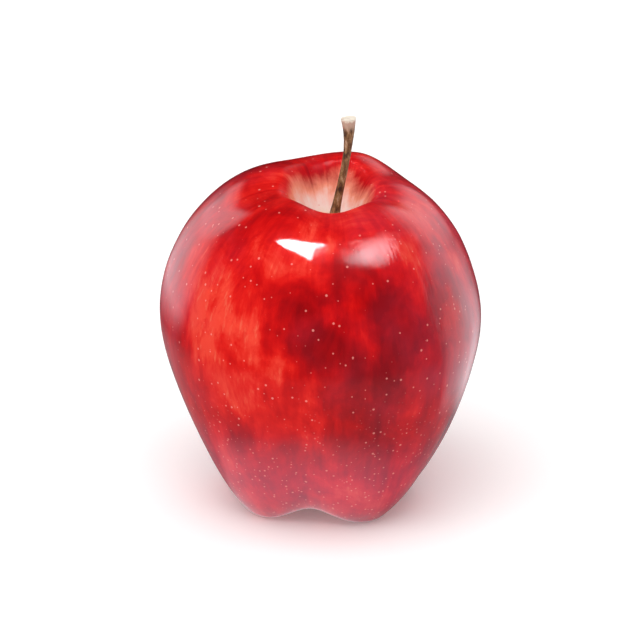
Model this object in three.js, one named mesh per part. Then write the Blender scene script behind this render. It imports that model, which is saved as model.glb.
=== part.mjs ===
// A ripe red apple of the tall, five-lobed kind, with its stem and the dried remains of its flower.
// Millimetres, +Z up. The front faces -Y, and angles round the core are measured from it towards +X.
// The origin is on the ground, under the middle of the apple.

import * as THREE from "three";

// ---- Driving dimensions of the fruit ----

const crownHeight = 83.8; // ground to the crest of the shoulders
const crownRadius = 12.9; // core line to that crest
const cheekHeight = 47.7; // ground to the widest part of the cheeks
const cheekRadius = 40.8; // core line to the widest part
const footRadius = 19.6; // core line to the middle of each foot
const cavityDepth = 17; // crest of the shoulders to the floor of the stem cavity
const basinDepth = 10; // ground to the roof of the basin at the flower end
const footPress = 0.35; // how much of each foot is pressed flat where the apple stands on it

// The crown and the stem cavity sit a little to one side of the core line.
const crownOffset = new THREE.Vector2(2.5, -0.5);

// Each of the five lobes: its angle, and how far it departs from the dimensions above.
// footTurn is how much further round its foot stands than its shoulder. groove is how strongly the furrow
// between it and the next lobe is marked, as a share of the depths below.
const lobes = [
  { angle: -49, footTurn: -3, crown: -1.6, crownRadius: 0.7, girth: -1.8, groove: 1.8 },
  { angle: 45.5, footTurn: -8, crown: -1.9, crownRadius: 1.1, girth: 0.6, groove: 1.2 },
  { angle: 103, footTurn: -3, crown: -1.5, crownRadius: -0.4, girth: -0.9, groove: 1 },
  { angle: 160, footTurn: 4, crown: 2, crownRadius: 1.1, girth: 0, groove: 1 },
  { angle: 243, footTurn: 3, crown: 1.2, crownRadius: 0.7, girth: 1.1, groove: 1.3 },
];

// The furrows between the lobes.
const cheekFurrow = 0.8; // depth of the broad furrow on the cheeks
const crownFurrow = 1; // dip of the crest between two lobes
const footFurrow = 2.5; // rise of the notch between two feet
const footFurrowInset = 1.6; // how far that notch runs in towards the core line
const footFurrowRounding = 0.33; // 0 is a knife-sharp notch, 1 is a soft wave

// How full each stretch of the skin's outline is: the share of its run over which each end stays straight.
const cavityFullness = { floor: 0.45, crest: 0.4 };
const shoulderFullness = { crest: 0.57, cheek: 0.44 };
const flankFullness = { cheek: 0.35, foot: 0.32 };
const basinFullness = { foot: 0.5, roof: 0.4 };

// ---- Driving dimensions of the stem, the sepals and the stamens ----

const clearance = 0.3; // gap between the fruit and each piece that grows from it, and between those pieces

const stemReach = new THREE.Vector2(4, 31.8); // from the stem's foot to its cut end, along X and Z
const stemBend = [new THREE.Vector2(0.3, 10), new THREE.Vector2(5, 21)]; // what its curve pulls towards
const stemRadius = 0.95;
const stemFootRadius = 2.1;
const stemEndRadius = 2.05;
const stemFootTaper = 3; // how soon the swelling of the foot dies out along the stem
const stemEndTaper = 5; // how late the swelling of the cut end sets in

const sepalWidth = 2.6;
const sepalThickness = 0.5;
const sepalLength = 6.4; // from the root towards the ground
const sepalSpread = 3; // how far the tip curls outwards
const sepalTipWidth = 0.1; // width at the tip, as a share of the width at the root
const sepalTipThickness = 0.6; // thickness at the tip, as a share of the thickness at the root

// Where a sepal's curl pulls towards, as shares of its spread and its length.
const sepalCurl = [new THREE.Vector2(0, 0.45), new THREE.Vector2(0.2, 0.85)];

const stamenLength = 3.2;

// The outline of the stamens, from the tip to the root, as shares of their radius and their length.
const stamenOutline = [
  new THREE.Vector2(0.5, 0.94),
  new THREE.Vector2(0.8, 0.7),
  new THREE.Vector2(0.7, 0.35),
];

// ---- Fineness of the surfaces ----

const columnsPerLobe = 16;
const skinRows = { basin: 12, flank: 14, shoulder: 11, cavity: 10 };
const footCrowding = 1.5; // how much the rows crowd towards the feet, 1 being evenly spaced
const stemSides = 14;
const stemSteps = 26;
const sepalSides = 10;
const sepalSteps = 12;
const stamenSides = 20;
const heightSearchSteps = 30; // each halves what is left to search

// ---- Shared geometry ----

// A closed body through rings of points, from one end point to the other. The rings run anticlockwise
// seen from the end that they climb towards.
function loft(startPoint, rings, endPoint) {
  const sides = rings[0].length;
  const points = [startPoint, ...rings.flat(), endPoint];
  const firstOfLastRing = 1 + (rings.length - 1) * sides;
  const indices = [];
  for (let side = 0; side < sides; side++) {
    const next = (side + 1) % sides;
    indices.push(0, 1 + next, 1 + side);
    for (let here = 1; here < firstOfLastRing; here += sides) {
      const above = here + sides;
      indices.push(here + side, here + next, above + next);
      indices.push(here + side, above + next, above + side);
    }
    indices.push(firstOfLastRing + side, firstOfLastRing + next, points.length - 1);
  }
  const geometry = new THREE.BufferGeometry().setFromPoints(points);
  geometry.setIndex(indices);
  geometry.computeVertexNormals();
  return geometry;
}

// A closed body along a flat curve: oval sections, across being the unit vector square to that curve's plane.
function sweep(path, across, halfWidthAt, halfThicknessAt, sides, steps) {
  const rings = [];
  for (let step = 0; step <= steps; step++) {
    const along = step / steps;
    const centre = path.getPoint(along);
    const outward = new THREE.Vector3().crossVectors(path.getTangent(along), across);
    const ring = [];
    for (let side = 0; side < sides; side++) {
      const turn = (side / sides) * 2 * Math.PI;
      ring.push(
        centre
          .clone()
          .addScaledVector(outward, halfThicknessAt(along) * Math.cos(turn))
          .addScaledVector(across, -halfWidthAt(along) * Math.sin(turn))
      );
    }
    rings.push(ring);
  }
  return loft(path.getPoint(0), rings, path.getPoint(1));
}

function material(color, roughness) {
  return new THREE.MeshStandardMaterial({ color, roughness, metalness: 0 });
}

function namedMesh(name, geometry, meshMaterial) {
  const mesh = new THREE.Mesh(geometry, meshMaterial);
  mesh.name = name;
  return mesh;
}

// ---- The fruit ----

// A quality of the fruit between two lobes. phase runs from 0 at a lobe to 1 at the next one.
function betweenLobes(lobe, nextLobe, phase, quality) {
  const share = Math.cos((phase * Math.PI) / 2) ** 2;
  return lobe[quality] * share + nextLobe[quality] * (1 - share);
}

// The outline of the skin at one angle, as four curves of (distance from the core line, height): the basin,
// the flank, the shoulder and the stem cavity.
function skinOutline(lobe, nextLobe, phase) {
  const blend = (quality) => betweenLobes(lobe, nextLobe, phase, quality);
  const broadFurrow = lobe.groove * Math.sin(phase * Math.PI) ** 2;
  const ridge = Math.hypot(Math.cos(phase * Math.PI), footFurrowRounding) - footFurrowRounding;
  const fullRidge = Math.hypot(1, footFurrowRounding) - footFurrowRounding;
  const notch = 1 - ridge / fullRidge;

  const roof = new THREE.Vector2(0, basinDepth);
  const foot = new THREE.Vector2(
    footRadius - footFurrowInset * notch,
    footFurrow * notch * lobe.groove - footPress
  );
  const cheek = new THREE.Vector2(cheekRadius + blend("girth") - cheekFurrow * broadFurrow, cheekHeight);
  const crest = new THREE.Vector2(
    crownRadius + blend("crownRadius"),
    crownHeight + blend("crown") - crownFurrow * broadFurrow
  );
  const floor = new THREE.Vector2(0, crownHeight - cavityDepth);

  return {
    basin: new THREE.CubicBezierCurve(
      roof,
      new THREE.Vector2(foot.x * basinFullness.roof, roof.y),
      new THREE.Vector2(foot.x * (1 - basinFullness.foot), foot.y),
      foot
    ),
    flank: new THREE.CubicBezierCurve(
      foot,
      new THREE.Vector2(foot.x + (cheek.x - foot.x) * flankFullness.foot, foot.y),
      new THREE.Vector2(cheek.x, cheek.y - (cheek.y - foot.y) * flankFullness.cheek),
      cheek
    ),
    shoulder: new THREE.CubicBezierCurve(
      cheek,
      new THREE.Vector2(cheek.x, cheek.y + (crest.y - cheek.y) * shoulderFullness.cheek),
      new THREE.Vector2(crest.x + (cheek.x - crest.x) * shoulderFullness.crest, crest.y),
      crest
    ),
    cavity: new THREE.CubicBezierCurve(
      crest,
      new THREE.Vector2(crest.x * (1 - cavityFullness.crest), crest.y),
      new THREE.Vector2(crest.x * cavityFullness.floor, floor.y),
      floor
    ),
  };
}

// The height of an outline's stretch at a distance from the core line, for a stretch that ends there.
function heightAt(curve, radius) {
  let inner = curve.v0.x < curve.v3.x ? 0 : 1;
  let outer = 1 - inner;
  for (let step = 0; step < heightSearchSteps; step++) {
    const between = (inner + outer) / 2;
    if (curve.getPoint(between).x < radius) inner = between;
    else outer = between;
  }
  return curve.getPoint(inner).y;
}

// How much of the crown's offset applies at each place along the shoulder, from the cheek up to the crest.
function crownShare(along) {
  return along ** 3 * (4 - 3 * along);
}

// How much of the feet's turn applies at each place along the flank, from the foot up to the cheek.
function turnShare(along) {
  return (1 + Math.cos(along * Math.PI)) / 2;
}

function fruitGeometry() {
  // For each stretch: how a row's place along it follows from its number, and at that place how much of the
  // crown's offset and of the feet's turn applies.
  const stretches = {
    basin: { place: (share) => 1 - (1 - share) ** footCrowding, offset: () => 0, turn: () => 1 },
    flank: { place: (share) => share ** footCrowding, offset: () => 0, turn: turnShare },
    shoulder: { place: (share) => share, offset: crownShare, turn: () => 0 },
    cavity: { place: (share) => share, offset: () => 1, turn: () => 0 },
  };
  const rowPlaces = [];
  for (const [stretch, count] of Object.entries(skinRows)) {
    for (let row = 1; row <= count; row++) {
      const along = stretches[stretch].place(row / count);
      const { offset, turn } = stretches[stretch];
      rowPlaces.push({ stretch, along, offset: offset(along), turn: turn(along) });
    }
  }
  rowPlaces.pop(); // the last row is the floor's one point

  const rings = rowPlaces.map(() => []);
  lobes.forEach((lobe, index) => {
    const nextLobe = lobes[(index + 1) % lobes.length];
    const arc = (nextLobe.angle - lobe.angle + 360) % 360;
    for (let column = 0; column < columnsPerLobe; column++) {
      const phase = column / columnsPerLobe;
      const footTurn = betweenLobes(lobe, nextLobe, phase, "footTurn");
      const outline = skinOutline(lobe, nextLobe, phase);
      rowPlaces.forEach(({ stretch, along, offset, turn }, row) => {
        const place = outline[stretch].getPoint(along);
        const angle = THREE.MathUtils.degToRad(lobe.angle + arc * phase + footTurn * turn);
        const x = place.x * Math.sin(angle) + crownOffset.x * offset;
        const y = -place.x * Math.cos(angle) + crownOffset.y * offset;
        rings[row].push(new THREE.Vector3(x, y, Math.max(place.y, 0)));
      });
    }
  });

  const roof = new THREE.Vector3(0, 0, basinDepth);
  const floor = new THREE.Vector3(crownOffset.x, crownOffset.y, crownHeight - cavityDepth);
  return loft(roof, rings, floor);
}

// ---- The pieces that grow from the fruit ----

const lobeOutline = skinOutline(lobes[0], lobes[1], 0);

// The sepals stand in a ring, with a gap between neighbours, and the stamens fill its middle.
const sepalCount = 5;
const sepalRingRadius = (sepalWidth + clearance) / 2 / Math.sin(Math.PI / sepalCount);
const stamenRadius = sepalRingRadius - sepalThickness / 2 - clearance;

// The height of a piece's root, just under the basin's roof, where its outermost edge is at this radius.
function rootHeight(outerRadius) {
  return heightAt(lobeOutline.basin, outerRadius) - clearance;
}

// The stem stands on the floor of its cavity, leans to one side and straightens, and ends in a swollen cut.
function stemGeometry() {
  const lean = stemBend[0].x / stemBend[0].length();
  const floorHeight = heightAt(lobeOutline.cavity, stemFootRadius);
  const foot = new THREE.Vector3(
    crownOffset.x,
    crownOffset.y,
    floorHeight + clearance + stemFootRadius * lean
  );
  const fromFoot = (reach) => foot.clone().add(new THREE.Vector3(reach.x, 0, reach.y));
  const path = new THREE.CubicBezierCurve3(
    foot,
    fromFoot(stemBend[0]),
    fromFoot(stemBend[1]),
    fromFoot(stemReach)
  );
  const radiusAt = (along) =>
    stemRadius +
    (stemFootRadius - stemRadius) * (1 - along) ** stemFootTaper +
    (stemEndRadius - stemRadius) * along ** stemEndTaper;
  const across = new THREE.Vector3(0, -1, 0);
  return sweep(path, across, radiusAt, radiusAt, stemSides, stemSteps);
}

// A dried sepal: a narrow pointed leaf that hangs from the basin's roof and curls outwards.
function sepalGeometry() {
  const root = rootHeight(Math.hypot(sepalRingRadius + sepalThickness / 2, sepalWidth / 2));
  const fromRoot = ({ x, y }) =>
    new THREE.Vector3(sepalRingRadius + sepalSpread * x, 0, root - sepalLength * y);
  const path = new THREE.CubicBezierCurve3(
    fromRoot({ x: 0, y: 0 }),
    fromRoot(sepalCurl[0]),
    fromRoot(sepalCurl[1]),
    fromRoot({ x: 1, y: 1 })
  );
  const halfWidthAt = (along) => (sepalWidth / 2) * (1 - (1 - sepalTipWidth) * along ** 2);
  const halfThicknessAt = (along) => (sepalThickness / 2) * (1 - (1 - sepalTipThickness) * along);
  const across = new THREE.Vector3(0, 1, 0);
  return sweep(path, across, halfWidthAt, halfThicknessAt, sepalSides, sepalSteps);
}

// The stamens, dried into one small brush in the middle of the sepals.
function stamenGeometry() {
  const root = rootHeight(stamenRadius);
  const profile = [
    new THREE.Vector2(0, root - stamenLength),
    ...stamenOutline.map(({ x, y }) => new THREE.Vector2(stamenRadius * x, root - stamenLength * y)),
    new THREE.Vector2(stamenRadius, root),
    new THREE.Vector2(0, root),
  ];
  return new THREE.LatheGeometry(profile, stamenSides).rotateX(Math.PI / 2);
}

// ---- Assembly ----

const skinMaterial = material(0xb3121c, 0.25);
const stemMaterial = material(0x6b4a2c, 0.75);
const calyxMaterial = material(0x6a5136, 0.9);

const apple = new THREE.Group();
apple.add(namedMesh("fruit", fruitGeometry(), skinMaterial));
apple.add(namedMesh("stem", stemGeometry(), stemMaterial));

for (let index = 0; index < sepalCount; index++) {
  const sepal = namedMesh(`sepal_${index + 1}`, sepalGeometry(), calyxMaterial);
  sepal.rotation.z = (index / sepalCount) * 2 * Math.PI;
  apple.add(sepal);
}

apple.add(namedMesh("stamen_tuft", stamenGeometry(), calyxMaterial));

// Centre the apple over the origin.
const extent = new THREE.Box3().setFromObject(apple, true);
const middle = extent.getCenter(new THREE.Vector3());
apple.position.set(-middle.x, -middle.y, -extent.min.z);

export default apple;
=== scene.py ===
"""A tall, five-lobed red apple standing on white paper, seen from a little above.

The CAD frame gives every size and place. This script makes the fine surfaces round it: a smooth waxy skin,
the bark and the cut end of the stem, and the dried sepals and stamens underneath. Lengths are in metres.
"""

import math
import random

import bmesh
import bpy
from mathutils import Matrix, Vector, noise


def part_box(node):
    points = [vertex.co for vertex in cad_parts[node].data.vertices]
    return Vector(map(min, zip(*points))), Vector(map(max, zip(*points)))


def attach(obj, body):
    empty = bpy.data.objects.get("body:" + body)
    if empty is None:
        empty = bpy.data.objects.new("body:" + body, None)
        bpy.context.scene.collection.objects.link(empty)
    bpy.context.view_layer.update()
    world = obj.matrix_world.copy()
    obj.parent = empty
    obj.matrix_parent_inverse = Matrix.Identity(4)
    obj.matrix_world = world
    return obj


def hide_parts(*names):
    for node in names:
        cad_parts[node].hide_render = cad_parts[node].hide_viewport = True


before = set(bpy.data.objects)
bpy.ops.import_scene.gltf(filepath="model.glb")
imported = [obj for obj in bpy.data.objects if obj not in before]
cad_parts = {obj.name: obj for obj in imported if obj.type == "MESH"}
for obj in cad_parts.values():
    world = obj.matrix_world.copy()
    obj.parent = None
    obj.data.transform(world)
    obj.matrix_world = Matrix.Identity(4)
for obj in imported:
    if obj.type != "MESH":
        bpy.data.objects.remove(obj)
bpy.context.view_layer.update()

MM = 0.001

# ---- Places taken from the frame ----

FRUIT_LOW, FRUIT_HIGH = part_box("fruit")
TUFT_LOW, TUFT_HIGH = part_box("stamen_tuft")
STEM_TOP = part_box("stem")[1].z


def lowest_point_centre(node, depth):
    """The middle of a node's lowest stretch, of the given depth."""
    corners = [vertex.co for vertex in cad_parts[node].data.vertices]
    lowest = min(corner.z for corner in corners)
    foot = [corner for corner in corners if corner.z < lowest + depth]
    return sum(foot, Vector()) / len(foot)


STEM_FOOT = lowest_point_centre("stem", 1.2 * MM)
CORE = (TUFT_LOW + TUFT_HIGH) / 2
CHEEK_RADIUS = (FRUIT_HIGH.x - FRUIT_LOW.x) / 2

# ---- Camera ----

CAMERA_ELEVATION = math.radians(22)
CAMERA_DISTANCE = 0.9
AIM_HEIGHT = 46.5 * MM
VIEW_WIDTH = 158 * MM  # what the frame spans at the apple
SENSOR_WIDTH_MM = 36


def add_camera():
    data = bpy.data.cameras.new("camera")
    data.sensor_width = SENSOR_WIDTH_MM
    data.lens = SENSOR_WIDTH_MM * CAMERA_DISTANCE / VIEW_WIDTH
    data.clip_start = 0.05
    data.clip_end = 50
    camera = bpy.data.objects.new("camera", data)
    bpy.context.scene.collection.objects.link(camera)
    back = Vector((0, -math.cos(CAMERA_ELEVATION), math.sin(CAMERA_ELEVATION)))
    camera.location = Vector((0, 0, AIM_HEIGHT)) + back * CAMERA_DISTANCE
    camera.rotation_mode = "QUATERNION"
    camera.rotation_quaternion = (-back).to_track_quat("-Z", "Y")
    bpy.context.scene.camera = camera


# ---- Soft lights and table ----

# The soft lights: name, azimuth and elevation in degrees, width and height in metres, brightness.
SOFT_LIGHTS = [
    ("front_fill", -55, 14, 1.6, 1.0, 0.9),
    ("back_fill", 165, 28, 1.6, 1.2, 0.9),
    ("overhead_fill", -15, 68, 1.5, 1.2, 3.1),
]
SOFT_LIGHT_DISTANCE = 1.5

TABLE_RADIUS = 4.0
TABLE_SIDES = 96


def direction(azimuth, elevation):
    """The unit vector towards a place in the studio. Azimuth 0 is the camera's side and 90 its right."""
    azimuth, elevation = math.radians(azimuth), math.radians(elevation)
    return Vector((
        math.sin(azimuth) * math.cos(elevation),
        -math.cos(azimuth) * math.cos(elevation),
        math.sin(elevation),
    ))


def add_soft_light(name, azimuth, elevation, width, height, brightness):
    """A soft rectangular light that faces the apple. Neither the camera nor the glossy skin shows it."""
    data = bpy.data.lights.new(name, "AREA")
    data.shape = "RECTANGLE"
    data.size = width
    data.size_y = height
    data.energy = brightness * math.pi * width * height
    light = bpy.data.objects.new(name, data)
    bpy.context.scene.collection.objects.link(light)
    towards = direction(azimuth, elevation)
    light.location = Vector((0, 0, FRUIT_HIGH.z / 2)) + towards * SOFT_LIGHT_DISTANCE
    light.rotation_mode = "QUATERNION"
    light.rotation_quaternion = (-towards).to_track_quat("-Z", "Y")
    light.visible_camera = False
    light.visible_glossy = False


def add_table():
    mesh = bpy.data.meshes.new("table")
    shape = bmesh.new()
    bmesh.ops.create_circle(shape, cap_ends=True, segments=TABLE_SIDES, radius=TABLE_RADIUS)
    shape.to_mesh(mesh)
    shape.free()
    table = bpy.data.objects.new("table", mesh)
    bpy.context.scene.collection.objects.link(table)
    return table


# ---- Node graphs ----


class Graph:
    """Short forms for building one node tree."""

    def __init__(self, tree):
        self.tree = tree
        tree.nodes.clear()

    def node(self, kind, inputs=None, **settings):
        made = self.tree.nodes.new(kind)
        for key, value in settings.items():
            setattr(made, key, value)
        for key, value in (inputs or {}).items():
            self.feed(made.inputs[key], value)
        return made

    def feed(self, socket, value):
        """Links a socket to another node's output, or sets it to a plain value."""
        if isinstance(value, bpy.types.NodeSocket):
            self.tree.links.new(value, socket)
        else:
            socket.default_value = value

    def math(self, operation, first, second):
        return self.node("ShaderNodeMath", {0: first, 1: second}, operation=operation).outputs[0]

    def vector(self, operation, first, second=(0, 0, 0), scale=1.0):
        made = self.node("ShaderNodeVectorMath", {0: first, 1: second, 3: scale}, operation=operation)
        gives_number = operation in ("LENGTH", "DISTANCE", "DOT_PRODUCT")
        return made.outputs["Value" if gives_number else "Vector"]

    def combine(self, x, y, z):
        return self.node("ShaderNodeCombineXYZ", {0: x, 1: y, 2: z}).outputs[0]

    def split(self, vector):
        return self.node("ShaderNodeSeparateXYZ", {0: vector}).outputs

    def noise(self, vector, scale, detail=3.0, roughness=0.55, distortion=0.0):
        settings = {"Scale": scale, "Detail": detail, "Roughness": roughness, "Distortion": distortion}
        return self.node("ShaderNodeTexNoise", {"Vector": vector, **settings}).outputs["Fac"]

    def fade(self, value, start, end, low=0.0, high=1.0):
        """low where value is at start or before it, high at end or past it, and a smooth step between."""
        made = self.node(
            "ShaderNodeMapRange",
            {"Value": value, "From Min": start, "From Max": end, "To Min": low, "To Max": high},
            interpolation_type="SMOOTHSTEP",
        )
        return made.outputs[0]

    def highest(self, values):
        top = values[0]
        for value in values[1:]:
            top = self.math("MAXIMUM", top, value)
        return top

    def weighted_sum(self, terms):
        """Adds up values, each times its weight; terms are (value, weight)."""
        parts = [self.math("MULTIPLY", value, weight) for value, weight in terms]
        total = parts[0]
        for part in parts[1:]:
            total = self.math("ADD", total, part)
        return total

    def mix(self, factor, first, second):
        """The first colour where factor is 0 and the second where it is 1."""
        made = self.node("ShaderNodeMix", data_type="RGBA")
        for socket, value in zip((made.inputs[0], made.inputs[6], made.inputs[7]), (factor, first, second)):
            self.feed(socket, value)
        return made.outputs[2]

    def ramp(self, value, stops):
        """A colour for each place along value; stops are (place, colour)."""
        made = self.node("ShaderNodeValToRGB", {0: value})
        band = made.color_ramp
        while len(band.elements) < len(stops):
            band.elements.new(0.5)
        for element, (place, tone) in zip(band.elements, stops):
            element.position = place
            element.color = tone
        return made.outputs[0]

    def bump(self, height, depth):
        """Normals of a surface that rises by depth where height is 1."""
        return self.node("ShaderNodeBump", {"Height": height, "Strength": 1.0, "Distance": depth}).outputs[0]


def colour(red, green, blue):
    return (red, green, blue, 1.0)


def grey(level):
    return colour(level, level, level)


def new_material(name):
    material = bpy.data.materials.new(name)
    material.use_nodes = True
    return material, Graph(material.node_tree)


def finish_material(graph, **sockets):
    """Ends a graph in one Principled shader. sockets are its inputs: values, or other nodes' outputs."""
    shader = graph.node("ShaderNodeBsdfPrincipled")
    for key, value in sockets.items():
        socket_name = key.replace("_", " ").title().replace("Ior", "IOR")
        graph.feed(shader.inputs[socket_name], value)
    output = graph.node("ShaderNodeOutputMaterial")
    graph.feed(output.inputs["Surface"], shader.outputs[0])


# ---- Surroundings ----

# The wax mirrors lamps and cards that stand in fixed directions from the apple. A round light is azimuth,
# elevation, inner and outer reach, all in degrees, and strength: full within the inner reach, 0 beyond the
# outer one. The foot of a card is where it meets the paper.
SOFT_LAMP = (52, 67, 0, 21, 11.0)
SOFT_LAMP_FLANK = (30, 67, 0, 11, 5.0)
RIGHT_CARD = (138, 26, 12, 34, 1.5)
RIGHT_CARD_FOOT = (112, 0, 18, 40, 1.4)
LEFT_CARD = (-147, 18, 4, 19, 2.0)
LEFT_CARD_FOOT = (-136, 0, 5, 26, 1.4)

# The left card shows only on one side of an upright plane: the azimuth which that side faces, and where the
# card starts and is full, as distances from the plane on a sphere of radius 1.
LEFT_CARD_SIDE = -63
LEFT_CARD_EDGE = (-0.02, 0.10)

# The straight-edged lamp: its corners as (azimuth, elevation), clockwise as seen from the apple, and how wide
# its soft edge is on that sphere.
STRAIGHT_LAMP_CORNERS = [(-21, 65), (-21, 76), (-45, 86), (-100, 86), (-84, 67)]
STRAIGHT_LAMP_EDGE = 0.02
STRAIGHT_LAMP_STRENGTH = 44.0

CARD_WHITE = (1.0, 0.95, 1.0)
DARK_ROOM = (0.010, 0.010, 0.010)
SOFT_DAYLIGHT = grey(0.43)
BACKDROP = grey(1.0)


def round_light(graph, towards, azimuth, elevation, inner, outer, strength):
    """The strength of a round light in the direction towards."""
    nearness = graph.vector("DOT_PRODUCT", towards, tuple(direction(azimuth, elevation)))
    return graph.fade(nearness, math.cos(math.radians(outer)), math.cos(math.radians(inner)), 0.0, strength)


def straight_lamp(graph, towards):
    """The strength of the straight-edged lamp in the direction towards."""
    shine = STRAIGHT_LAMP_STRENGTH
    next_corners = STRAIGHT_LAMP_CORNERS[1:] + STRAIGHT_LAMP_CORNERS[:1]
    for corner, next_corner in zip(STRAIGHT_LAMP_CORNERS, next_corners):
        inward = direction(*corner).cross(direction(*next_corner)).normalized()
        depth = graph.vector("DOT_PRODUCT", towards, tuple(inward))
        shine = graph.math("MULTIPLY", shine, graph.fade(depth, 0.0, STRAIGHT_LAMP_EDGE))
    return shine


def left_card(graph, towards):
    """The strength of the left card, with its straight upright edge, in the direction towards."""
    depth = graph.vector("DOT_PRODUCT", towards, tuple(direction(LEFT_CARD_SIDE, 0)))
    return graph.math("MULTIPLY", round_light(graph, towards, *LEFT_CARD), graph.fade(depth, *LEFT_CARD_EDGE))


def make_surroundings():
    """White for the camera, soft daylight for matt surfaces, and lamps and cards for the wax to mirror."""
    world = bpy.data.worlds.new("studio")
    bpy.context.scene.world = world
    world.use_nodes = True
    graph = Graph(world.node_tree)
    towards = graph.node("ShaderNodeTexCoord").outputs["Generated"]
    soft_lamp = round_light(graph, towards, *SOFT_LAMP)
    soft_lamp_flank = round_light(graph, towards, *SOFT_LAMP_FLANK)
    shine = graph.highest([
        straight_lamp(graph, towards),
        graph.math("ADD", soft_lamp, soft_lamp_flank),
        round_light(graph, towards, *RIGHT_CARD),
        round_light(graph, towards, *RIGHT_CARD_FOOT),
        left_card(graph, towards),
        round_light(graph, towards, *LEFT_CARD_FOOT),
    ])
    room = graph.vector("ADD", graph.vector("SCALE", CARD_WHITE, scale=shine), DARK_ROOM)
    ray = graph.node("ShaderNodeLightPath").outputs
    shown = graph.mix(ray["Is Glossy Ray"], SOFT_DAYLIGHT, room)
    shown = graph.mix(ray["Is Camera Ray"], shown, BACKDROP)
    background = graph.node("ShaderNodeBackground", {"Color": shown, "Strength": 1.0})
    output = graph.node("ShaderNodeOutputWorld")
    graph.feed(output.inputs["Surface"], background.outputs[0])


# ---- Paper on the table ----

PAPER_GRAIN = 900  # cells to a metre
PAPER_DARK = grey(0.93)
PAPER_LIGHT = grey(0.97)

# The paper glows a little near the apple, more from GLOW_START metres on and fully from GLOW_END on, so that
# it meets the backdrop.
NEAR_GLOW = 0.15
FULL_GLOW = 1.0
GLOW_START = 0.3
GLOW_END = 1.5

# Painted reflections: the paper glows only for mirrored rays, so that the wax mirrors it bright round the
# feet of the lobes and at the foot of each card, dim near the apple elsewhere, and dark beyond that.
PAPER_ROUND_FEET = (-20, 0, 30, 80, 0.9)
DIM_PAPER = 0.25


def table_material():
    material, graph = new_material("table_paper")
    place = graph.node("ShaderNodeTexCoord").outputs["Object"]
    distance = graph.vector("LENGTH", place)
    towards = graph.vector("NORMALIZE", place)

    paper = graph.mix(graph.noise(place, PAPER_GRAIN), PAPER_DARK, PAPER_LIGHT)
    glow_strength = graph.fade(distance, GLOW_START, GLOW_END, NEAR_GLOW, FULL_GLOW)
    matt = graph.node("ShaderNodeBsdfDiffuse", {"Color": paper})
    glow = graph.node("ShaderNodeEmission", {"Color": paper, "Strength": glow_strength})
    white_paper = graph.node("ShaderNodeAddShader", {0: matt.outputs[0], 1: glow.outputs[0]})

    def painted_glow_under(light, start, full):
        """The painted glow of the paper under a round light, which starts and is full at these distances from
        the apple.
        """
        return graph.math("MULTIPLY", round_light(graph, towards, *light), graph.fade(distance, start, full))

    shine = graph.highest([
        painted_glow_under(PAPER_ROUND_FEET, 62 * MM, 42 * MM),
        painted_glow_under(RIGHT_CARD_FOOT, 45 * MM, 90 * MM),
        painted_glow_under(LEFT_CARD_FOOT, 120 * MM, 320 * MM),
        graph.fade(distance, 160 * MM, 100 * MM, 0.0, DIM_PAPER),
    ])
    painted_mirror_glow = graph.node("ShaderNodeEmission", {"Color": colour(*CARD_WHITE), "Strength": shine})

    # Mirrored rays see the painted glow instead of the paper.
    is_mirrored = graph.node("ShaderNodeLightPath").outputs["Is Glossy Ray"]
    shown = graph.node(
        "ShaderNodeMixShader", {0: is_mirrored, 1: white_paper.outputs[0], 2: painted_mirror_glow.outputs[0]}
    )
    output = graph.node("ShaderNodeOutputMaterial")
    graph.feed(output.inputs["Surface"], shown.outputs[0])
    return material


# ---- Skin ----

MAROON = colour(0.24, 0.001, 0.003)
CRIMSON = colour(0.36, 0.0012, 0.003)
RED = colour(0.53, 0.0025, 0.003)
SCARLET = colour(0.67, 0.009, 0.006)
ORANGE = colour(0.78, 0.050, 0.028)
PALE_FLECK = colour(0.76, 0.16, 0.09)
# A painted reflection: the lavender of the mirrored paper and cards.
PAINTED_VEIL = colour(0.56, 0.22, 0.42)
PINK_TAN = colour(0.92, 0.36, 0.24)
# Partly the cavity's own cream and partly a painted sheen, a painted reflection on its wall.
CREAM_AND_PAINTED_SHEEN = colour(0.96, 0.80, 0.76)
STRAW = colour(0.84, 0.58, 0.28)
LENTICEL = colour(0.84, 0.30, 0.26)

# The skin's colours, from the deepest to the palest.
SKIN_COLOURS = [(0.26, MAROON), (0.36, CRIMSON), (0.46, RED), (0.54, SCARLET), (0.64, ORANGE)]

# Patches of paler or deeper skin: side in degrees, height and reach in metres, and how much paler than the
# rest it is there, or deeper where that is below 0.
PALER_AND_DEEPER_PATCHES = [
    (10, 0.058, 0.018, -0.22),
    (17, 0.043, 0.020, -0.13),
    (60, 0.064, 0.020, -0.12),
    (-5, 0.068, 0.016, -0.15),
    (-20, 0.044, 0.026, 0.09),
    (-38, 0.054, 0.018, 0.05),
    (-12, 0.028, 0.030, -0.08),
    (-50, 0.068, 0.020, 0.08),
    (62, 0.078, 0.016, 0.10),
    (60, 0.050, 0.024, -0.07),
    (56, 0.034, 0.024, -0.12),
    (-100, 0.078, 0.024, -0.12),
    (112, 0.034, 0.026, 0.08),
    (150, 0.058, 0.028, -0.12),
    (-150, 0.036, 0.026, 0.09),
    (-115, 0.050, 0.020, -0.06),
    (-150, 0.090, 0.036, -0.13),
    (165, 0.090, 0.032, -0.10),
]

# Side in degrees, height and reach in metres.
# The two veils below are painted reflections on the cheeks, a lavender tint standing in for the mirrored
# cards.
RIGHT_PAINTED_VEIL = (95, 0.045, 0.050)
LEFT_PAINTED_VEIL = (-115, 0.050, 0.040)
PEBBLED_SHOULDER = (42, 0.076, 0.020)
# How strongly the painted lavender reflection is mixed into the skin.
PAINTED_VEIL_SHARE = 0.16

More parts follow.
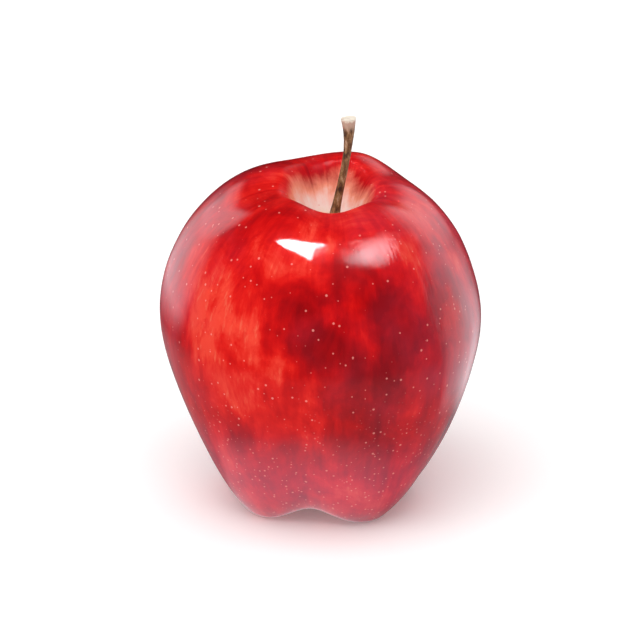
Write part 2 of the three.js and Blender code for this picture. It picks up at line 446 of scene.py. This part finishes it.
# The cavity's colours, and how far from the stem's foot each starts and is full, in millimetres.
# The pink cream among them is partly a painted sheen, a painted reflection on the wall round the stem.
CAVITY_COLOURS = [(PINK_TAN, 7.2, 4.2), (CREAM_AND_PAINTED_SHEEN, 5.2, 3.0), (STRAW, 3.6, 1.0)]

# Pale dots: cells to a metre, radius of the largest dot, and the share of the cells that hold one.
LARGE_DOTS = (620.0, 0.36 * MM, 0.75)
SMALL_DOTS = (900.0, 0.30 * MM, 0.9)

WAX_THICKNESS = 0.7  # the weight of the glossy coat where the wax is whole
SKIN_RELIEF = 0.02 * MM


def skin_material():
    material, graph = new_material("apple_skin")
    place = graph.node("ShaderNodeTexCoord").outputs["Object"]
    x, y, z = graph.split(place)

    # The bearing of each point round the stem's foot, as a unit vector: streaks run from stem to flower.
    from_stem = graph.vector("SUBTRACT", graph.combine(x, y, 0.0), (STEM_FOOT.x, STEM_FOOT.y, 0.0))
    stem_distance = graph.vector("LENGTH", from_stem)
    bearing_x, bearing_y, _ = graph.split(graph.vector("NORMALIZE", from_stem))

    def streaks(around, along, detail, roughness):
        """Noise drawn out along the meridians: around cells to a radian, along cells to a metre of height."""
        drawn_out = graph.combine(
            graph.math("MULTIPLY", bearing_x, around),
            graph.math("MULTIPLY", bearing_y, around),
            graph.math("MULTIPLY", z, along),
        )
        return graph.noise(drawn_out, 1.0, detail, roughness)

    # A place moved about at random by some millimetres, which gives blotches their ragged edges.
    wander = graph.node("ShaderNodeTexNoise", {"Vector": place, "Scale": 70.0, "Detail": 3.0})
    centred_wander = graph.vector("SUBTRACT", wander.outputs["Color"], (0.5, 0.5, 0.5))
    wandering = graph.vector("ADD", place, graph.vector("MULTIPLY", centred_wander, (0.04, 0.04, 0.06)))

    def blotch(side, height, reach):
        """1 in the middle of a ragged patch of skin, 0 outside it."""
        middle = CORE + direction(side, 0) * CHEEK_RADIUS
        distance = graph.vector("DISTANCE", wandering, (middle.x, middle.y, height))
        return graph.fade(distance, 1.25 * reach, 0.0)

    def dots(scale, radius, share):
        """1 in the middle of pale dots of uneven size, 0 outside them."""
        cells = graph.node("ShaderNodeTexVoronoi", {"Vector": place, "Scale": scale, "Randomness": 1.0})
        size = graph.fade(graph.split(cells.outputs["Color"])[0], 1.0 - share, 1.0, 0.0, radius * scale)
        nearness = graph.math("SUBTRACT", size, cells.outputs["Distance"])
        return graph.fade(nearness, 0.0, 0.35 * radius * scale)

    medium = streaks(around=8.0, along=45, detail=4.0, roughness=0.62)
    fine = streaks(around=24.0, along=110, detail=4.0, roughness=0.65)
    flattened = graph.vector("MULTIPLY", place, (1.0, 1.0, 0.6))
    patches = graph.noise(flattened, 95, detail=5.0, roughness=0.62, distortion=0.4)

    uneven = [(blotch(side, height, reach), paler) for side, height, reach, paler in PALER_AND_DEEPER_PATCHES]
    paleness = graph.weighted_sum([(patches, 0.66), (medium, 0.24), (fine, 0.10)] + uneven)
    skin = graph.ramp(paleness, SKIN_COLOURS)

    # Short pale flecks where the skin is palest.
    flecks = graph.fade(streaks(around=40.0, along=320, detail=3.0, roughness=0.6), 0.54, 0.72)
    flecks = graph.math("MULTIPLY", flecks, graph.fade(paleness, 0.52, 0.64, 0.0, 0.45))
    skin = graph.mix(flecks, skin, PALE_FLECK)

    # A painted reflection: a thin lavender veil, painted low on the apple and on its cheeks, stands in for
    # the mirrored paper and cards.
    low_on_apple = graph.fade(z, 36 * MM, 12 * MM)
    painted_veil_mask = graph.highest([low_on_apple, blotch(*RIGHT_PAINTED_VEIL), blotch(*LEFT_PAINTED_VEIL)])
    skin = graph.mix(graph.math("MULTIPLY", painted_veil_mask, PAINTED_VEIL_SHARE), skin, PAINTED_VEIL)

    # The stem cavity turns tan, cream and straw towards its floor, with ragged streaky edges; the cream ring
    # round the stem is partly its own colour and partly a painted sheen.
    high = graph.fade(z, FRUIT_HIGH.z - 26 * MM, FRUIT_HIGH.z - 12 * MM)
    ragged_distance = graph.weighted_sum([
        (stem_distance, 1.0), (patches, -6 * MM), (medium, -1.5 * MM), (bearing_x, 0.8 * MM),
    ])
    for tone, start, full in CAVITY_COLOURS:
        share = graph.math("MULTIPLY", graph.fade(ragged_distance, start * MM, full * MM), high)
        skin = graph.mix(share, skin, tone)

    # Pale dots all over, with smaller and denser ones low on the apple.
    low_down = graph.fade(z, 45 * MM, 15 * MM)
    small_dots = graph.math("MULTIPLY", dots(*SMALL_DOTS), low_down)
    speckle = graph.math("MAXIMUM", dots(*LARGE_DOTS), small_dots)
    skin = graph.mix(graph.math("MULTIPLY", speckle, 0.6), skin, LENTICEL)

    # The wax is uneven, most of all on one shoulder, and wears off inside the cavity.
    wax = graph.fade(stem_distance, 11 * MM, 19 * MM, 0.0, WAX_THICKNESS)
    pebbles = graph.math("MULTIPLY", blotch(*PEBBLED_SHOULDER), fine)
    ripples = graph.noise(place, 380, detail=2.0, roughness=0.5)
    waviness = graph.weighted_sum([(ripples, 1.0), (pebbles, 10.0)])
    height = graph.weighted_sum([(fine, 0.5), (speckle, 0.4)])
    finish_material(
        graph,
        base_color=skin,
        roughness=graph.fade(medium, 0.3, 0.7, 0.30, 0.42),
        normal=graph.bump(height, SKIN_RELIEF),
        specular_ior_level=0.06,
        coat_weight=wax,
        coat_roughness=0.06,
        coat_ior=1.5,
        coat_normal=graph.bump(waviness, SKIN_RELIEF),
    )
    return material


# ---- Stem, sepals and stamens ----

BARK_COLOURS = [
    (0.36, colour(0.032, 0.011, 0.006)),
    (0.46, colour(0.130, 0.055, 0.020)),
    (0.56, colour(0.270, 0.140, 0.055)),
    (0.68, colour(0.520, 0.350, 0.230)),
]
WORN_BARK = colour(0.50, 0.33, 0.25)
CUT_WOOD = colour(0.80, 0.72, 0.60)
DRIED_COLOURS = [
    (0.35, colour(0.06, 0.032, 0.014)),
    (0.52, colour(0.22, 0.125, 0.058)),
    (0.70, colour(0.48, 0.34, 0.20)),
]


def bark_material():
    """Mottled bark, worn pale near the top of the stem, and the paler wood of the cut end."""
    material, graph = new_material("stem_bark")
    place = graph.node("ShaderNodeTexCoord").outputs["Object"]
    stretched = graph.vector("MULTIPLY", place, (1.0, 1.0, 0.35))
    mottling = graph.noise(stretched, 1000, detail=5.0, roughness=0.68)
    ragged_height = graph.weighted_sum([(graph.split(place)[2], 1.0), (mottling, 2.4 * MM)])
    worn = graph.fade(ragged_height, STEM_TOP - 2.6 * MM, STEM_TOP - 0.2 * MM)
    cut = graph.fade(ragged_height, STEM_TOP + 0.1 * MM, STEM_TOP + 0.9 * MM)
    bark = graph.ramp(mottling, BARK_COLOURS)
    bark = graph.mix(worn, bark, WORN_BARK)
    bark = graph.mix(cut, bark, CUT_WOOD)
    finish_material(graph, base_color=bark, roughness=0.7, normal=graph.bump(mottling, 0.15 * MM))
    return material


def dried_material():
    material, graph = new_material("dried_flower")
    place = graph.node("ShaderNodeTexCoord").outputs["Object"]
    mottling = graph.noise(place, 1500, detail=4.0, roughness=0.6)
    brown = graph.ramp(mottling, DRIED_COLOURS)
    finish_material(graph, base_color=brown, roughness=0.9, normal=graph.bump(mottling, 0.1 * MM))
    return material


# ---- Fine meshes ----

WELD_DISTANCE = 2e-6
PAIR_BEND = math.radians(60)  # two triangles that bend more than this at their shared edge stay apart
PAIR_SKEW = math.radians(80)  # and so do two that would make a quad more out of square than this
RIM_CREASE = 0.8


def fine_copy(node, name, levels, creased=None):
    """A smooth copy of a faceted CAD node: its corners welded, its triangles paired, and subdivided."""
    shape = bmesh.new()
    shape.from_mesh(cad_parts[node].data)
    bmesh.ops.remove_doubles(shape, verts=shape.verts, dist=WELD_DISTANCE)
    bmesh.ops.join_triangles(
        shape, faces=shape.faces, angle_face_threshold=PAIR_BEND, angle_shape_threshold=PAIR_SKEW
    )
    if creased:
        crease = shape.edges.layers.float.new("crease_edge")
        for edge in shape.edges:
            if creased(edge):
                edge[crease] = RIM_CREASE
    mesh = bpy.data.meshes.new(name + "_cage")
    shape.to_mesh(mesh)
    shape.free()
    cage = bpy.data.objects.new(name + "_cage", mesh)
    bpy.context.scene.collection.objects.link(cage)
    subdivision = cage.modifiers.new("smooth", "SUBSURF")
    subdivision.levels = levels
    evaluated = cage.evaluated_get(bpy.context.evaluated_depsgraph_get())
    smooth = bpy.data.meshes.new_from_object(evaluated)
    bpy.data.objects.remove(cage)
    bpy.data.meshes.remove(mesh)
    smooth.name = name
    piece = bpy.data.objects.new(name, smooth)
    bpy.context.scene.collection.objects.link(piece)
    smooth.shade_smooth()
    return piece


def press_in(piece, depth_at):
    """Moves each vertex inwards along its normal by depth_at(vertex position)."""
    mesh = piece.data
    moves = [vertex.normal * -depth_at(vertex.co) for vertex in mesh.vertices]
    for vertex, move in zip(mesh.vertices, moves):
        vertex.co += move
    mesh.update()


def unevenness(place):
    """Smooth random noise from about 0 to 2, with about one bump to a unit of place."""
    return noise.noise(place) + 1


def place_piece(piece, node, material):
    piece.data.materials.clear()
    piece.data.materials.append(material)
    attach(piece, "root")
    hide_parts(node)


def make_skin(material):
    skin = fine_copy("fruit", "apple_skin", 2)

    def dimples(place):
        broad = 0.16 * MM * unevenness(place * 75)
        small = 0.045 * MM * unevenness(place * 190 + Vector((3, 1, 7)))
        share = min(place.z / (2 * MM), 1)  # none at the feet, so that they stay on the paper
        return (broad + small) * share

    press_in(skin, dimples)
    place_piece(skin, "fruit", material)


END_THICKNESS = 0.9 * MM  # what counts as the cut end of the stem, down from its top
HUB_EDGES = 8  # a corner with this many edges or more is the hub in the middle of the end


def make_stem(material):
    def on_end_rim(edge):
        at_end = all(vertex.co.z > STEM_TOP - END_THICKNESS for vertex in edge.verts)
        return at_end and all(len(vertex.link_edges) < HUB_EDGES for vertex in edge.verts)

    stem = fine_copy("stem", "stem_bark", 3, on_end_rim)

    def bark_relief(place):
        ridges = 0.07 * MM * unevenness(Vector((place.x * 1100, place.y * 1100, place.z * 220)))
        lumps = 0.10 * MM * unevenness(place * 420 + Vector((5, 2, 0)))
        return ridges + lumps

    press_in(stem, bark_relief)
    place_piece(stem, "stem", material)


def make_sepals(material):
    for number in range(1, 6):
        sepal = fine_copy(f"sepal_{number}", f"dried_sepal_{number}", 2)
        offset = Vector((number, 0, 0))
        press_in(sepal, lambda place: 0.05 * MM * unevenness(place * 900 + offset))
        place_piece(sepal, f"sepal_{number}", material)


# ---- Stamens ----

FILAMENT_COUNT = 22
FILAMENT_TURN = math.radians(137.5)  # from each filament to the next, which spreads them evenly
FILAMENT_SPREAD = 0.78  # how much of the tuft's radius their roots fill
FILAMENT_SIDES = 8
FILAMENT_STEPS = 7
FILAMENT_RADIUS = 0.16 * MM
TIP_SWELLING = 0.12 * MM
SWAY = 0.35 * MM
INWARD_LEAN = 0.25 * MM


def add_rod(shape, centres, radii):
    """A closed rod through level rings, one round each centre."""
    turns = [side * math.tau / FILAMENT_SIDES for side in range(FILAMENT_SIDES)]
    spokes = [Vector((math.cos(turn), math.sin(turn), 0)) for turn in turns]
    rings = [
        [shape.verts.new(centre + spoke * radius) for spoke in spokes]
        for centre, radius in zip(centres, radii)
    ]
    shape.faces.new(rings[0])
    for ring, next_ring in zip(rings, rings[1:]):
        for side in range(FILAMENT_SIDES):
            following = (side + 1) % FILAMENT_SIDES
            shape.faces.new((ring[side], next_ring[side], next_ring[following], ring[following]))
    shape.faces.new(reversed(rings[-1]))


def make_stamens(material):
    """A brush of dry filaments, each a thin bent rod with a swollen tip."""
    draw = random.Random(7)
    tuft_radius = (TUFT_HIGH.x - TUFT_LOW.x) / 2
    tuft_length = TUFT_HIGH.z - TUFT_LOW.z
    stations = [step / FILAMENT_STEPS for step in range(FILAMENT_STEPS + 1)]
    radii = [FILAMENT_RADIUS * (1 - 0.5 * along) for along in stations]
    for swollen in (-3, -2):
        radii[swollen] += TIP_SWELLING
    shape = bmesh.new()
    for index in range(FILAMENT_COUNT):
        turn = index * FILAMENT_TURN
        outward = Vector((math.cos(turn), math.sin(turn), 0))
        root_radius = FILAMENT_SPREAD * tuft_radius * math.sqrt((index + 0.5) / FILAMENT_COUNT)
        root = Vector((CORE.x, CORE.y, TUFT_HIGH.z - 0.1 * MM)) + outward * root_radius
        fall = Vector((0, 0, -tuft_length * draw.uniform(0.7, 0.95)))
        sway = Vector((draw.uniform(-1, 1), draw.uniform(-1, 1), 0)) * SWAY
        lean = -outward * INWARD_LEAN
        centres = [root + fall * along + sway * along ** 2 + lean * along for along in stations]
        add_rod(shape, centres, radii)
    bmesh.ops.recalc_face_normals(shape, faces=shape.faces)
    mesh = bpy.data.meshes.new("dried_stamens")
    shape.to_mesh(mesh)
    shape.free()
    mesh.shade_smooth()
    stamens = bpy.data.objects.new("dried_stamens", mesh)
    bpy.context.scene.collection.objects.link(stamens)
    place_piece(stamens, "stamen_tuft", material)


# ---- The scene ----

bpy.context.scene.view_settings.view_transform = "Standard"

add_camera()
for soft_light in SOFT_LIGHTS:
    add_soft_light(*soft_light)
make_surroundings()
add_table().data.materials.append(table_material())

make_skin(skin_material())
make_stem(bark_material())
dried = dried_material()
make_sepals(dried)
make_stamens(dried)
